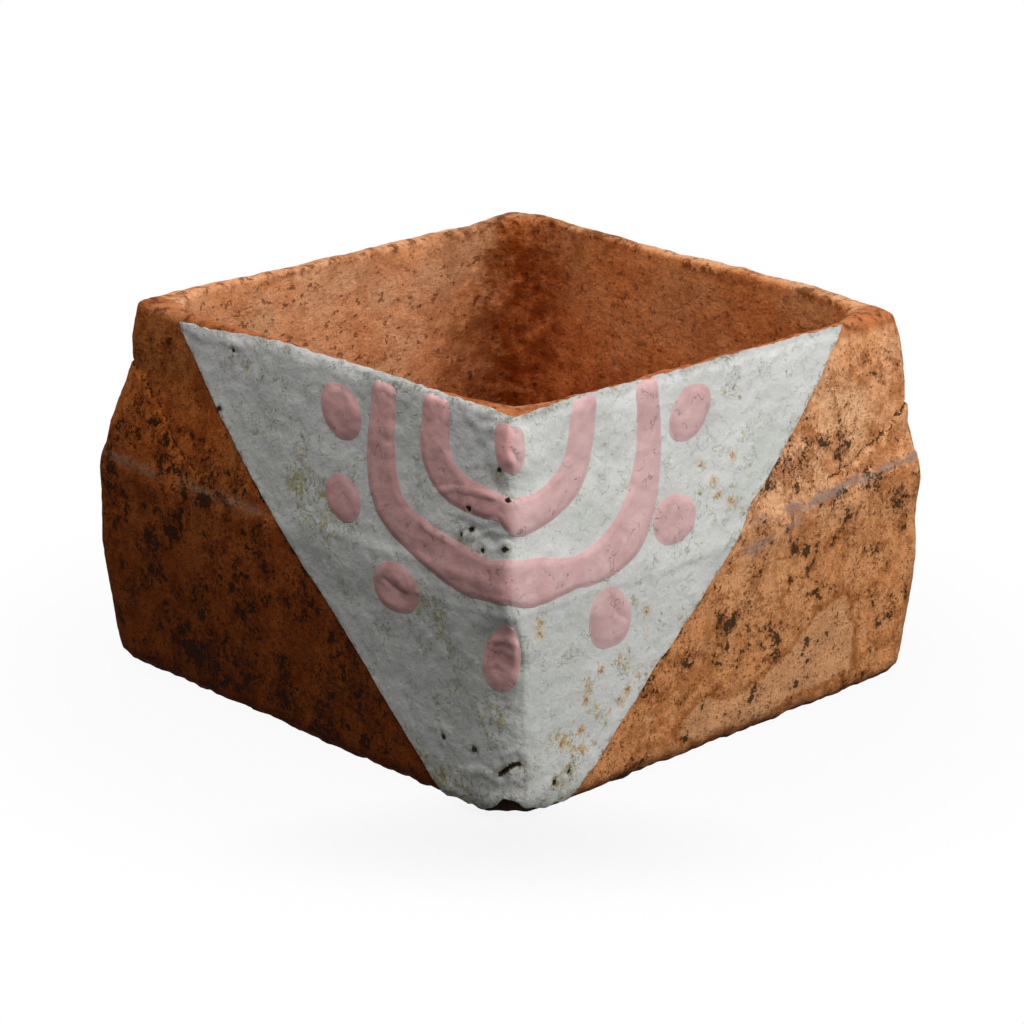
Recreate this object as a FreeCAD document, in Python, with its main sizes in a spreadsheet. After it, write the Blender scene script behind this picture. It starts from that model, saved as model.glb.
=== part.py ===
import FreeCAD, Part
import math
import os
import Sketcher

# Square terracotta plant pot, hand pressed, with one corner painted.
# Millimetres, +Z up, origin in the middle of the face that the pot stands on.
# The four walls face the X and Y axes and the painted corner points to -X -Y.

V = FreeCAD.Vector
doc = FreeCAD.newDocument("square_plant_pot")
sheet = doc.addObject("Spreadsheet::Sheet", "Sizes")

SIZES = [
    # the clay, outside: drops go down from the rim, insets go in from the belly on each side
    ("potHeight", 90),
    ("neckDrop", 15),
    ("bellyTopDrop", 40),
    ("bellyBandHeight", 20),
    ("bellyWidth", 140),
    ("neckInset", 4.5),
    ("rimInset", 6.5),
    ("bellyCornerRadius", 3),
    ("rimCornerRadius", 2),
    ("footCornerRadius", 13),
    ("footEdgeRadius", 5),
    ("rimEdgeRadius", 1.5),
    # the clay, inside
    ("rimWall", 4.5),
    ("neckWall", 5.5),
    ("bellyWall", 7),
    ("footWall", 8),
    ("floorThickness", 8),
    ("mouthCornerRadius", 15),
    ("floorEdgeRadius", 6),
    ("drainDiameter", 12),
    # the white panel: half widths are measured across the pot's diagonal
    ("coatThickness", 0.35),
    ("coatTopHalf", 76.5),
    ("coatRidgeHalf", 53.5),
    ("coatFootHalf", 15),
    ("coatRidgeDrop", 36),
    ("coatFootLevel", 1.5),
    ("coatRimGap", 0.4),
    # the two painted arches, measured across the pot's diagonal and down from the rim
    ("strokeThickness", 0.5),
    ("archTopGap", 2),
    ("innerArchHalf", 16),
    ("innerArchDrop", 20),
    ("innerArchRadius", 9),
    ("innerBandWidth", 5.8),
    ("outerArchHalf", 29),
    ("outerArchDrop", 35.5),
    ("outerArchRadius", 15),
    ("outerBandWidth", 6.3),
    # the painted spots
    ("spotWidth", 9.2),
    ("spotHeight", 12),
    ("spotRingHalf", 38),
    ("spotUpperDrop", 9.5),
    ("spotMiddleDrop", 29.5),
    ("spotLowerHalf", 23.5),
    ("spotLowerGap", 1.85),
    ("cornerSpotWidth", 7.4),
    ("spotCentreHeight", 12),
    ("spotCentreGap", 2),
    ("spotBottomHeight", 14),
    ("spotBottomGap", 5.85),
    # shared
    ("cornerTurn", 45),
    ("overrun", 5),
]

QUARTER_TURN = 90
BROAD_STEPS = 3
FINE_STEPS = 2

NECK_LEVEL = "Sizes.potHeight - Sizes.neckDrop"
BELLY_TOP_LEVEL = "Sizes.potHeight - Sizes.bellyTopDrop"
BELLY_LOW_LEVEL = BELLY_TOP_LEVEL + " - Sizes.bellyBandHeight"
RIM_WIDTH = "Sizes.bellyWidth - 2 * Sizes.rimInset"
NECK_WIDTH = "Sizes.bellyWidth - 2 * Sizes.neckInset"
NECK_CORNER = "Sizes.rimCornerRadius + Sizes.rimInset - Sizes.neckInset"
MOUTH_WIDTH = RIM_WIDTH + " - 2 * Sizes.rimWall"

for row, (alias, number) in enumerate(SIZES, start=1):
    sheet.set("A%d" % row, alias)
    sheet.set("B%d" % row, str(number))
    sheet.setAlias("B%d" % row, alias)
doc.recompute()


def plane_of(body, role):
    """One of the body's own origin planes."""
    for feature in body.Origin.OriginFeatures:
        if feature.Role == role:
            return feature
    raise RuntimeError("no plane " + role)


def new_sketch(body, name, role):
    sketch = body.newObject("Sketcher::SketchObject", name)
    sketch.AttachmentSupport = [(plane_of(body, role), "")]
    sketch.MapMode = "FlatFace"
    return sketch


def size(text):
    """The number that an expression on the sheet gives."""
    return float(sheet.evalExpression(text))


def drive(sketch, kind, places, name, text):
    """Add a dimension to a sketch and bind it to the sheet."""
    index = sketch.addConstraint(Sketcher.Constraint(kind, *places, size(text)))
    sketch.renameConstraint(index, name)
    sketch.setExpression("Constraints." + name, text)


def join_tangent(sketch, joints):
    for first, first_end, second, second_end in joints:
        sketch.addConstraint(Sketcher.Constraint("Tangent", first, first_end, second, second_end))


def arc(centre, radius, start, end):
    """An arc between two directions, both counted in quarter turns from +X."""
    circle = Part.Circle(centre, V(0, 0, 1), radius)
    quarter = math.radians(QUARTER_TURN)
    return Part.ArcOfCircle(circle, start * quarter, end * quarter)


def square_section(body, name, level, width, radius):
    """A square outline with round corners, centred on the pot, at one level."""
    sketch = new_sketch(body, name, "XY_Plane")
    sketch.AttachmentOffset = FreeCAD.Placement(V(0, 0, size(level)), FreeCAD.Rotation())
    sketch.setExpression("AttachmentOffset.Base.z", level)
    half = size(width) / 2
    bend = size(radius)
    flat = half - bend
    corners = [(flat, -flat, -1), (flat, flat, 0), (-flat, flat, 1), (-flat, -flat, 2)]
    sides = [
        (V(-flat, -half, 0), V(flat, -half, 0)),
        (V(half, -flat, 0), V(half, flat, 0)),
        (V(flat, half, 0), V(-flat, half, 0)),
        (V(-half, flat, 0), V(-half, -flat, 0)),
    ]
    for start, end in sides:
        sketch.addGeometry(Part.LineSegment(start, end))
    for x, y, turn in corners:
        sketch.addGeometry(arc(V(x, y, 0), bend, turn, turn + 1))
    join_tangent(sketch, [(side, 2, side + 4, 1) for side in range(4)])
    join_tangent(sketch, [(side + 4, 2, (side + 1) % 4, 1) for side in range(4)])
    for side in (0, 2):
        sketch.addConstraint(Sketcher.Constraint("Horizontal", side))
        sketch.addConstraint(Sketcher.Constraint("Vertical", side + 1))
    for corner in (4, 5):
        sketch.addConstraint(Sketcher.Constraint("Equal", corner, corner + 1))
    sketch.addConstraint(Sketcher.Constraint("Symmetric", 4, 3, 6, 3, -1, 1))
    drive(sketch, "Radius", (4,), "bend", radius)
    drive(sketch, "DistanceX", (3, 1, 1, 1), "across", width)
    drive(sketch, "DistanceY", (0, 1, 2, 1), "deep", width)
    return sketch


def quarter_round(name, end, width, radius, bend, way, steps):
    """Sections that round off one end of a form: way is 1 at its foot and -1 at its top."""
    sections = []
    for step in range(steps + 1):
        angle = "%g deg" % (step * QUARTER_TURN / steps)
        rise = "(%s) * (1 - cos(%s))" % (bend, angle)
        inset = "(%s) * (1 - sin(%s))" % (bend, angle)
        level = "%s %s %s" % (end, "+" if way > 0 else "-", rise)
        across = "%s - 2 * %s" % (width, inset)
        sections.append(("%s_%d" % (name, step), level, across, "%s - %s" % (radius, inset)))
    return sections[::way]


def flared_mouth(name, end, width, radius, bend):
    """Sections that open a hollow out over the rounded inner edge of a rim."""
    sections = []
    for step in range(FINE_STEPS + 1):
        angle = "%g deg" % (step * QUARTER_TURN / FINE_STEPS)
        outset = "(%s) * (1 - cos(%s))" % (bend, angle)
        level = "%s - (%s) * (1 - sin(%s))" % (end, bend, angle)
        across = "%s + 2 * %s" % (width, outset)
        sections.append(("%s_%d" % (name, step), level, across, "%s + %s" % (radius, outset)))
    return sections


def loft_form(body, kind, name, levels):
    """A straight-sided form through square sections, lowest first."""
    sections = [square_section(body, name + "_" + part, level, width, radius)
                for part, level, width, radius in levels]
    loft = body.newObject(kind, name)
    loft.Profile = sections[0]
    loft.Sections = sections[1:]
    loft.Ruled = True
    doc.recompute()
    return loft


def outer_block(label, skin):
    """The pot's outside as a solid block, grown by the thickness of the paint on it."""
    body = doc.addObject("PartDesign::Body", label)
    body.Label = label
    grown = " + 2 * (%s)" % skin
    bent = " + " + skin
    edge = "Sizes.bellyCornerRadius" + bent
    belly = "Sizes.bellyWidth" + grown
    foot = quarter_round("foot", "-(%s)" % skin, belly, "Sizes.footCornerRadius" + bent,
                         "Sizes.footEdgeRadius" + bent, 1, BROAD_STEPS)
    sides = [
        ("belly_low", BELLY_LOW_LEVEL, belly, edge),
        ("belly_top", BELLY_TOP_LEVEL, belly, edge),
        ("neck", NECK_LEVEL, NECK_WIDTH + grown, NECK_CORNER + bent),
    ]
    rim = quarter_round("rim", "Sizes.potHeight" + bent, RIM_WIDTH + grown,
                        "Sizes.rimCornerRadius" + bent, "Sizes.rimEdgeRadius" + bent, -1, FINE_STEPS)
    loft_form(body, "PartDesign::AdditiveLoft", label + "_sides", foot + sides + rim)
    return body


def inside_radius(width):
    """An inside corner opens out with its walls, about an upright line in the mouth's corner."""
    return "Sizes.mouthCornerRadius + ((%s) - (%s)) / 2" % (width, MOUTH_WIDTH)


def clay_pot():
    """Walls, floor and drain hole in one piece of clay."""
    body = outer_block("clay_pot", "0")
    belly = "Sizes.bellyWidth - 2 * Sizes.bellyWall"
    neck = NECK_WIDTH + " - 2 * Sizes.neckWall"
    base = "Sizes.bellyWidth - 2 * Sizes.footWall"
    floor = quarter_round("floor", "Sizes.floorThickness", base, inside_radius(base),
                          "Sizes.floorEdgeRadius", 1, BROAD_STEPS)
    sides = [
        ("belly", BELLY_LOW_LEVEL, belly, inside_radius(belly)),
        ("neck", NECK_LEVEL, neck, inside_radius(neck)),
    ]
    rim = flared_mouth("mouth", "Sizes.potHeight", MOUTH_WIDTH, "Sizes.mouthCornerRadius",
                       "Sizes.rimEdgeRadius")
    above = ("above", "Sizes.potHeight + Sizes.overrun", MOUTH_WIDTH + " + 2 * Sizes.rimEdgeRadius",
             "Sizes.mouthCornerRadius + Sizes.rimEdgeRadius")
    cavity = loft_form(body, "PartDesign::SubtractiveLoft", "cavity", floor + sides + rim + [above])

    sketch = new_sketch(body, "drain_outline", "XY_Plane")
    sketch.addGeometry(Part.Circle(V(0, 0, 0), V(0, 0, 1), size("Sizes.drainDiameter / 2")))
    sketch.addConstraint(Sketcher.Constraint("Coincident", 0, 3, -1, 1))
    drive(sketch, "Radius", (0,), "drain", "Sizes.drainDiameter / 2")
    drain = body.newObject("PartDesign::Pocket", "drain_hole")
    drain.Profile = sketch
    drain.Reversed = True
    drain.Length = size("Sizes.floorThickness + Sizes.overrun")
    drain.setExpression("Length", "Sizes.floorThickness + Sizes.overrun")
    doc.recompute()
    if not drain.Shape.Volume < cavity.Shape.Volume:
        raise RuntimeError("the drain hole cut nothing")
    return body


def corner_body(label):
    """A body whose XZ plane is seen along the diagonal, with the painted corner in front."""
    body = doc.addObject("PartDesign::Body", label)
    body.Label = label
    body.Placement = FreeCAD.Placement(V(0, 0, 0), FreeCAD.Rotation(V(0, 0, 1), -size("Sizes.cornerTurn")))
    return body


def pad_to_corner(body, sketch, name):
    """Push an outline out through the painted corner."""
    pad = body.newObject("PartDesign::Pad", name)
    pad.Profile = sketch
    pad.Length = size("Sizes.bellyWidth")
    pad.setExpression("Length", "Sizes.bellyWidth")
    doc.recompute()
    return body


def panel_prism():
    """The masked outline of the white panel: a cut-off triangle with a bend at the ridge."""
    body = corner_body("panel_prism")
    sketch = new_sketch(body, "panel_outline", "XZ_Plane")
    levels = [
        ("foot", "Sizes.coatFootHalf", "Sizes.coatFootLevel"),
        ("ridge", "Sizes.coatRidgeHalf", "Sizes.potHeight - Sizes.coatRidgeDrop"),
        ("top", "Sizes.coatTopHalf", "Sizes.potHeight - Sizes.coatRimGap"),
    ]
    right = [V(size(half), size(level), 0) for name, half, level in levels]
    left = [V(-point.x, point.y, 0) for point in reversed(right)]
    points = right + left
    count = len(points)
    for index in range(count):
        sketch.addGeometry(Part.LineSegment(points[index], points[(index + 1) % count]))
    for index in range(count):
        sketch.addConstraint(Sketcher.Constraint("Coincident", index, 2, (index + 1) % count, 1))
    for index, (name, half, level) in enumerate(levels):
        twin = count - 1 - index
        sketch.addConstraint(Sketcher.Constraint("Symmetric", index, 1, twin, 1, -2))
        drive(sketch, "DistanceX", (twin, 1, index, 1), name + "_across", "2 * " + half)
        drive(sketch, "DistanceY", (-1, 1, index, 1), name + "_level", level)
    return pad_to_corner(body, sketch, "panel_pad")


def arch_prism(label, half, drop, corner, band):
    """An upright arch hung from the rim: two legs with round tops and a curved foot."""
    body = corner_body(label)
    sketch = new_sketch(body, label + "_outline", "XZ_Plane")
    brush = band + " / 2"
    level = "Sizes.potHeight - " + drop
    top = "Sizes.potHeight - Sizes.archTopGap - " + brush
    top_z = size(top)
    mid = size(half)
    grow = size(brush)
    bend = size(corner)
    turn_x = mid - bend
    turn_z = size(level) + bend
    low = size(level)
    out = mid + grow
    inn = mid - grow
    pieces = [
        Part.LineSegment(V(-out, top_z, 0), V(-out, turn_z, 0)),
        arc(V(-turn_x, turn_z, 0), bend + grow, 2, 3),
        Part.LineSegment(V(-turn_x, low - grow, 0), V(turn_x, low - grow, 0)),
        arc(V(turn_x, turn_z, 0), bend + grow, 3, 4),
        Part.LineSegment(V(out, turn_z, 0), V(out, top_z, 0)),
        arc(V(mid, top_z, 0), grow, 0, 2),
        Part.LineSegment(V(inn, top_z, 0), V(inn, turn_z, 0)),
        arc(V(turn_x, turn_z, 0), bend - grow, 3, 4),
        Part.LineSegment(V(turn_x, low + grow, 0), V(-turn_x, low + grow, 0)),
        arc(V(-turn_x, turn_z, 0), bend - grow, 2, 3),
        Part.LineSegment(V(-inn, turn_z, 0), V(-inn, top_z, 0)),
        arc(V(-mid, top_z, 0), grow, 0, 2),
    ]
    sketch.addGeometry(pieces)
    join_tangent(sketch, [(side, 2, side + 1, 1) for side in range(6)])
    join_tangent(sketch, [(6, 2, 7, 2), (7, 1, 8, 1), (8, 2, 9, 2), (9, 1, 10, 1)])
    join_tangent(sketch, [(10, 2, 11, 1), (11, 2, 0, 1)])
    for leg in (0, 4, 6, 10):
        sketch.addConstraint(Sketcher.Constraint("Vertical", leg))
    for foot in (2, 8):
        sketch.addConstraint(Sketcher.Constraint("Horizontal", foot))
    for first, second in ((5, 11), (1, 3), (7, 9)):
        sketch.addConstraint(Sketcher.Constraint("Equal", first, second))
    sketch.addConstraint(Sketcher.Constraint("Symmetric", 11, 3, 5, 3, -2))
    sketch.addConstraint(Sketcher.Constraint("Coincident", 3, 3, 7, 3))
    drive(sketch, "Radius", (5,), "brush", brush)
    drive(sketch, "DistanceX", (-1, 1, 5, 3), "half", half)
    drive(sketch, "DistanceY", (-1, 1, 5, 3), "top", top)
    drive(sketch, "DistanceY", (-1, 1, 2, 1), "low", level + " - " + brush)
    drive(sketch, "Radius", (3,), "corner", corner + " + " + brush)
    return pad_to_corner(body, sketch, label + "_pad")


def spot_prism(label, side, half, drop, wide, tall):
    """An upright oval spot: side is -1 left of the corner, 0 on it and 1 right of it."""
    body = corner_body(label)
    sketch = new_sketch(body, label + "_outline", "XZ_Plane")
    radius = wide + " / 2"
    level = "Sizes.potHeight - (%s)" % drop
    rise = "(%s - %s) / 2" % (tall, wide)
    high = level + " + " + rise
    low = level + " - " + rise
    grow = size(radius)
    x = side * size(half)
    pieces = [
        arc(V(x, size(high), 0), grow, 0, 2),
        Part.LineSegment(V(x - grow, size(high), 0), V(x - grow, size(low), 0)),
        arc(V(x, size(low), 0), grow, 2, 4),
        Part.LineSegment(V(x + grow, size(low), 0), V(x + grow, size(high), 0)),
    ]
    sketch.addGeometry(pieces)
    join_tangent(sketch, [(0, 2, 1, 1), (1, 2, 2, 1), (2, 2, 3, 1), (3, 2, 0, 1)])
    for flank in (1, 3):
        sketch.addConstraint(Sketcher.Constraint("Vertical", flank))
    drive(sketch, "Radius", (0,), "round", radius)
    if side == 0:
        sketch.addConstraint(Sketcher.Constraint("PointOnObject", 0, 3, -2))
    elif side > 0:
        drive(sketch, "DistanceX", (-1, 1, 0, 3), "half", half)
    else:
        drive(sketch, "DistanceX", (0, 3, -1, 1), "half", half)
    drive(sketch, "DistanceY", (-1, 1, 0, 3), "high", high)
    drive(sketch, "DistanceY", (-1, 1, 2, 3), "low", low)
    return pad_to_corner(body, sketch, label + "_pad")


def cut(name, base, tool):
    result = doc.addObject("Part::Cut", name)
    result.Base = base
    result.Tool = tool
    return result


def paint(label, skin, prism):
    """The part of a skin of paint that lies inside an outline."""
    result = doc.addObject("Part::Common", label)
    result.Label = label
    result.Base = skin
    result.Tool = prism
    return result


WHITE = "Sizes.coatThickness"
PINK = "Sizes.coatThickness + Sizes.strokeThickness"
RING = "Sizes.spotRingHalf"
LOWER = "Sizes.spotLowerHalf"
CENTRE_DROP = "Sizes.spotCentreGap + Sizes.spotCentreHeight / 2"
ARCH_DROP = "Sizes.outerArchDrop + Sizes.outerBandWidth / 2"
LOWER_DROP = ARCH_DROP + " + Sizes.spotLowerGap + Sizes.spotHeight / 2"
BOTTOM_DROP = ARCH_DROP + " + Sizes.spotBottomGap + Sizes.spotBottomHeight / 2"
SIDE_SPOT = ("Sizes.spotWidth", "Sizes.spotHeight")
CENTRE_SPOT = ("Sizes.cornerSpotWidth", "Sizes.spotCentreHeight")
BOTTOM_SPOT = ("Sizes.cornerSpotWidth", "Sizes.spotBottomHeight")
SPOTS = [
    ("spot_centre", 0, "0", CENTRE_DROP, CENTRE_SPOT),
    ("spot_upper_left", -1, RING, "Sizes.spotUpperDrop", SIDE_SPOT),
    ("spot_middle_left", -1, RING, "Sizes.spotMiddleDrop", SIDE_SPOT),
    ("spot_lower_left", -1, LOWER, LOWER_DROP, SIDE_SPOT),
    ("spot_bottom", 0, "0", BOTTOM_DROP, BOTTOM_SPOT),
    ("spot_lower_right", 1, LOWER, LOWER_DROP, SIDE_SPOT),
    ("spot_middle_right", 1, RING, "Sizes.spotMiddleDrop", SIDE_SPOT),
    ("spot_upper_right", 1, RING, "Sizes.spotUpperDrop", SIDE_SPOT),
]

blocks = {}
for label, skin in (("clay_block", "0"), ("white_block", WHITE), ("pink_block", PINK)):
    blocks[label] = outer_block(label, skin)
white_skin = cut("white_skin", blocks["white_block"], blocks["clay_block"])
pink_skin = cut("pink_skin", blocks["pink_block"], blocks["white_block"])

parts = [clay_pot(), paint("white_panel", white_skin, panel_prism())]
inner = ("Sizes.innerArchHalf", "Sizes.innerArchDrop", "Sizes.innerArchRadius", "Sizes.innerBandWidth")
outer = ("Sizes.outerArchHalf", "Sizes.outerArchDrop", "Sizes.outerArchRadius", "Sizes.outerBandWidth")
for label, sizes in (("inner_arch", inner), ("outer_arch", outer)):
    parts.append(paint(label, pink_skin, arch_prism(label + "_prism", *sizes)))
for label, side, half, drop, spread in SPOTS:
    parts.append(paint(label, pink_skin, spot_prism(label + "_prism", side, half, drop, *spread)))
doc.recompute()

for item in doc.Objects:
    for word in ("Invalid", "Error"):
        if word in item.State:
            raise RuntimeError("%s is %s" % (item.Label, word))
for part in parts:
    shape = part.Shape
    if shape.isNull() or not shape.isValid() or len(shape.Solids) != 1:
        raise RuntimeError("bad solid: " + part.Label)

os.makedirs("parts", exist_ok=True)
for part in parts:
    part.Shape.exportStep("parts/%s.step" % part.Label)
    box = part.Shape.BoundBox
    print("%-18s volume %9.1f  box %6.1f %6.1f %6.1f" %
          (part.Label, part.Shape.Volume, box.XLength, box.YLength, box.ZLength))
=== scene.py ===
import math
import bpy
import numpy as np
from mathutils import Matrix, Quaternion, Vector, noise


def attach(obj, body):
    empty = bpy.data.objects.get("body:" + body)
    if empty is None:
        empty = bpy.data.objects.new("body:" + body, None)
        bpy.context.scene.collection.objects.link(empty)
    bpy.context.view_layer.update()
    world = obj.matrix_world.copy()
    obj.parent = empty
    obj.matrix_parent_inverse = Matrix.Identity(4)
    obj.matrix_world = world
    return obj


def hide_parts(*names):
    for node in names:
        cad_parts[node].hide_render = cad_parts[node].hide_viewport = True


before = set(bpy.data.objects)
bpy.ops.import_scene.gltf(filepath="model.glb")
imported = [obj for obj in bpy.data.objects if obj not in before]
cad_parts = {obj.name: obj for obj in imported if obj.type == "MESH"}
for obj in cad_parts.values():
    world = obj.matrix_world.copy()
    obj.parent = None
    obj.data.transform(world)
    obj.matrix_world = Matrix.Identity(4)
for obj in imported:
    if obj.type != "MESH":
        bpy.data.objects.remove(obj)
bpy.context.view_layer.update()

mm = 0.001
close = 0.1 * mm    # two places nearer than this count as one
print("frame loaded")


# small helpers for modelling

def startClean():
    if bpy.context.mode != 'OBJECT':
        bpy.ops.object.mode_set(mode='OBJECT')
    bpy.ops.object.select_all(action='DESELECT')


def editMode(on=True):
    bpy.ops.object.mode_set(mode='EDIT' if on else 'OBJECT')


def makeWith(operator, name, **settings):
    startClean()
    operator(**settings)
    made = bpy.context.object
    made.name = name
    return made


def focusOn(piece):
    startClean()
    piece.select_set(True)
    bpy.context.view_layer.objects.active = piece


def pickAll(piece):    # leaves the piece in edit mode with everything selected
    focusOn(piece)
    editMode()
    bpy.ops.mesh.select_all(action='SELECT')


def pickParts(piece, kind, test):    # leaves the piece in edit mode with the wanted parts selected
    focusOn(piece)
    editMode()
    bpy.ops.mesh.select_mode(type=kind)
    bpy.ops.mesh.select_all(action='DESELECT')
    editMode(False)
    mesh = piece.data
    places = [vertex.co.copy() for vertex in mesh.vertices]
    if kind == 'FACE':
        for face in mesh.polygons:
            face.select = bool(test(face.center, face.normal))
    elif kind == 'EDGE':
        for edge in mesh.edges:
            edge.select = bool(test(places[edge.vertices[0]], places[edge.vertices[1]]))
    else:
        for vertex in mesh.vertices:
            vertex.select = bool(test(vertex.co))
    editMode()


def workOn(piece, kind, test, operator, **settings):    # one operator on the wanted parts
    pickParts(piece, kind, test)
    operator(**settings)
    editMode(False)


def cutAcross(piece, point, normal):
    pickAll(piece)
    bpy.ops.mesh.bisect(plane_co=point, plane_no=normal)
    editMode(False)


def addModifier(piece, kind, **settings):
    modifier = piece.modifiers.new(kind.title(), kind)
    for name, value in settings.items():
        setattr(modifier, name, value)
    focusOn(piece)
    bpy.ops.object.modifier_apply(modifier=modifier.name)


def roughen(piece, size, height, depth=2):    # size and height in millimetres
    texture = bpy.data.textures.new(piece.name + "Clouds", 'CLOUDS')
    texture.noise_scale = size * mm
    texture.noise_depth = depth
    addModifier(piece, 'DISPLACE', texture=texture, texture_coords='LOCAL', mid_level=0.5,
                strength=height * mm)


def readRows(source, key):    # one row of three numbers for each vertex
    flat = np.empty(len(source) * 3)
    source.foreach_get(key, flat)
    return flat.reshape(-1, 3)


def readPoints(piece):    # in millimetres, as writePoints takes them
    return readRows(piece.data.vertices, 'co') / mm


def readNormals(piece):
    return readRows(piece.data.vertex_normals, 'vector')


def writePoints(piece, points):
    piece.data.vertices.foreach_set('co', (points * mm).ravel())
    piece.data.update()


def waves(points, size, shift=0.0):    # soft noise between -1 and 1, its bumps about as wide as size
    moved = points / size + shift
    return np.array([noise.noise(Vector(place)) for place in moved])


def ease(values, low, high):    # 0 at low, 1 at high, smooth between, and low may be the larger one
    share = np.clip((values - low) / (high - low), 0, 1)
    return share * share * (3 - 2 * share)


def follow(table, places):    # a table of (place, value) pairs, read between its rows
    return np.interp(places, *zip(*table))


def columns(*values):    # one row for each point, single numbers repeated
    return np.stack(np.broadcast_arrays(*values), 1)


def paintValues(piece, name, values):
    attribute = piece.data.attributes.new(name, 'FLOAT', 'POINT')
    attribute.data.foreach_set('value', np.asarray(values, dtype=np.float32))


# camera, light and floor

view = dict(lookAt=(0, 0, 0.03895), turn=-45.10, rise=18.76, distance=0.8368, lens=123.3, roll=0.81)


def placeCamera():
    turn, rise = math.radians(view['turn']), math.radians(view['rise'])
    away = Vector((math.sin(turn) * math.cos(rise), -math.cos(turn) * math.cos(rise), math.sin(rise)))
    target = Vector(view['lookAt'])
    camera = makeWith(bpy.ops.object.camera_add, "camera", location=target + away * view['distance'])
    camera.rotation_mode = 'QUATERNION'
    camera.rotation_quaternion = (-away).to_track_quat('-Z', 'Y') @ Quaternion(
        (0, 0, 1), math.radians(view['roll']))
    camera.data.lens = view['lens']
    bpy.context.scene.camera = camera


lamps = dict(
    key=dict(place=(0.30, -0.95, 0.62), size=0.55, power=8.7),
    top=dict(place=(-0.30, -0.15, 1.15), size=0.90, power=10.0),
    back=dict(place=(0.75, 0.85, 0.70), size=0.90, power=4.5),
)


def placeLamps():
    for name, lamp in lamps.items():
        made = makeWith(bpy.ops.object.light_add, name + "Lamp", type='AREA', location=lamp['place'])
        made.data.size = lamp['size']
        made.data.energy = lamp['power']
        made.rotation_mode = 'QUATERNION'
        made.rotation_quaternion = (Vector((0, 0, 0.045)) - Vector(lamp['place'])).to_track_quat('-Z', 'Y')


# small helpers for materials, which all work in the node tree that startTree opened last

def colour(red, green, blue):    # screen values from 0 to 255
    linear = [c / 12.92 if c <= 0.04045 else ((c + 0.055) / 1.055) ** 2.4
              for c in (red / 255, green / 255, blue / 255)]
    return (*linear, 1.0)


def startTree(owner):
    global tree
    owner.use_nodes = True
    tree = owner.node_tree
    tree.nodes.clear()


def addNode(kind, inputs=None, **settings):
    made = tree.nodes.new('ShaderNode' + kind)
    for name, value in settings.items():
        setattr(made, name, value)
    for name, value in (inputs or {}).items():
        if isinstance(value, bpy.types.NodeSocket):
            tree.links.new(value, made.inputs[name])
        else:
            made.inputs[name].default_value = value
    return made


def startMaterial(name):
    material = bpy.data.materials.new(name)
    startTree(material)
    shader = addNode('BsdfPrincipled')
    addNode('OutputMaterial', {'Surface': shader.outputs[0]})
    return material, shader, addNode('TexCoord').outputs['Object']


def finishMaterial(material, shader, base, roughness, specular, height, distance):    # distance in mm
    shader.inputs['Roughness'].default_value = roughness
    shader.inputs['Specular IOR Level'].default_value = specular
    bump = addNode('Bump', {'Height': height, 'Distance': distance * mm, 'Strength': 1.0})
    tree.links.new(base, shader.inputs['Base Color'])
    tree.links.new(bump.outputs[0], shader.inputs['Normal'])
    return material


def calc(operation, first, second=0.0, third=0.0):
    return addNode('Math', {0: first, 1: second, 2: third}, operation=operation).outputs[0]


def scaled(value, factor, offset):
    return calc('MULTIPLY_ADD', value, factor, offset)


def larger(first, second):
    return calc('MAXIMUM', first, second)


def turnedOver(value):    # 1 becomes 0, and 0 becomes 1
    return calc('SUBTRACT', 1.0, value)


def times(*values):
    product = values[0]
    for value in values[1:]:
        product = calc('MULTIPLY', product, value)
    return product


def noiseAt(place, size, detail=4.0, rough=0.55, twist=0.0):    # size in millimetres
    return addNode('TexNoise', {'Vector': place, 'Scale': 1 / (size * mm), 'Detail': detail,
                                'Roughness': rough, 'Distortion': twist}).outputs[0]


def fade(value, low, high):    # 0 at low, 1 at high
    return addNode('MapRange', {'Value': value, 'From Min': low, 'From Max': high},
                   interpolation_type='SMOOTHSTEP').outputs[0]


def spread(value):    # one number as a grey colour
    return addNode('CombineXYZ', {0: value, 1: value, 2: value}).outputs[0]


def piled(value, *layers):    # layers of (pattern, how much of it is added)
    for pattern, amount in layers:
        value = scaled(pattern, amount, value)
    return value


def crowded(pattern, field, push, low, high):    # a pattern's peaks, more of them where the field is high
    return fade(scaled(calc('SUBTRACT', field, 0.5), push, pattern), low, high)


def threads(place, size, width, where, detail=3.0):    # wandering lines that thin out away from a mask
    field = calc('ABSOLUTE', calc('SUBTRACT', noiseAt(place, size, detail, 0.6), 0.5))
    return fade(scaled(turnedOver(where), 2 * width, field), width, width * 0.3)


def blendColours(amount, first, second, kind='MIX'):
    return addNode('Mix', {0: amount, 6: first, 7: second}, data_type='RGBA', blend_type=kind).outputs[2]


def lay(base, over, *shares):    # a colour over another, where all the shares are high
    return blendColours(times(*shares), base, over)


def dim(base, light):
    return blendColours(1.0, base, spread(light), 'MULTIPLY')


def tint(base, mask, tone):
    return blendColours(1.0, base, blendColours(mask, (1, 1, 1, 1), tone), 'MULTIPLY')


def stretched(place, across, up):    # coordinates squeezed so that a pattern runs up the wall
    return addNode('Mapping', {'Vector': place, 'Scale': (across, across, up)}).outputs[0]


def shaken(place, size, amount):    # coordinates shifted by noise, amount in millimetres
    wobble = addNode('TexNoise', {'Vector': place, 'Scale': 1 / (size * mm), 'Detail': 3.0})
    centred = addNode('VectorMath', {0: wobble.outputs['Color'], 1: (0.5, 0.5, 0.5)}, operation='SUBTRACT')
    return addNode('VectorMath', {0: centred.outputs[0], 1: (2 * amount * mm,) * 3, 2: place},
                   operation='MULTIPLY_ADD').outputs[0]


def attributeAt(name):
    return addNode('Attribute', attribute_name=name).outputs['Fac']


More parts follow.
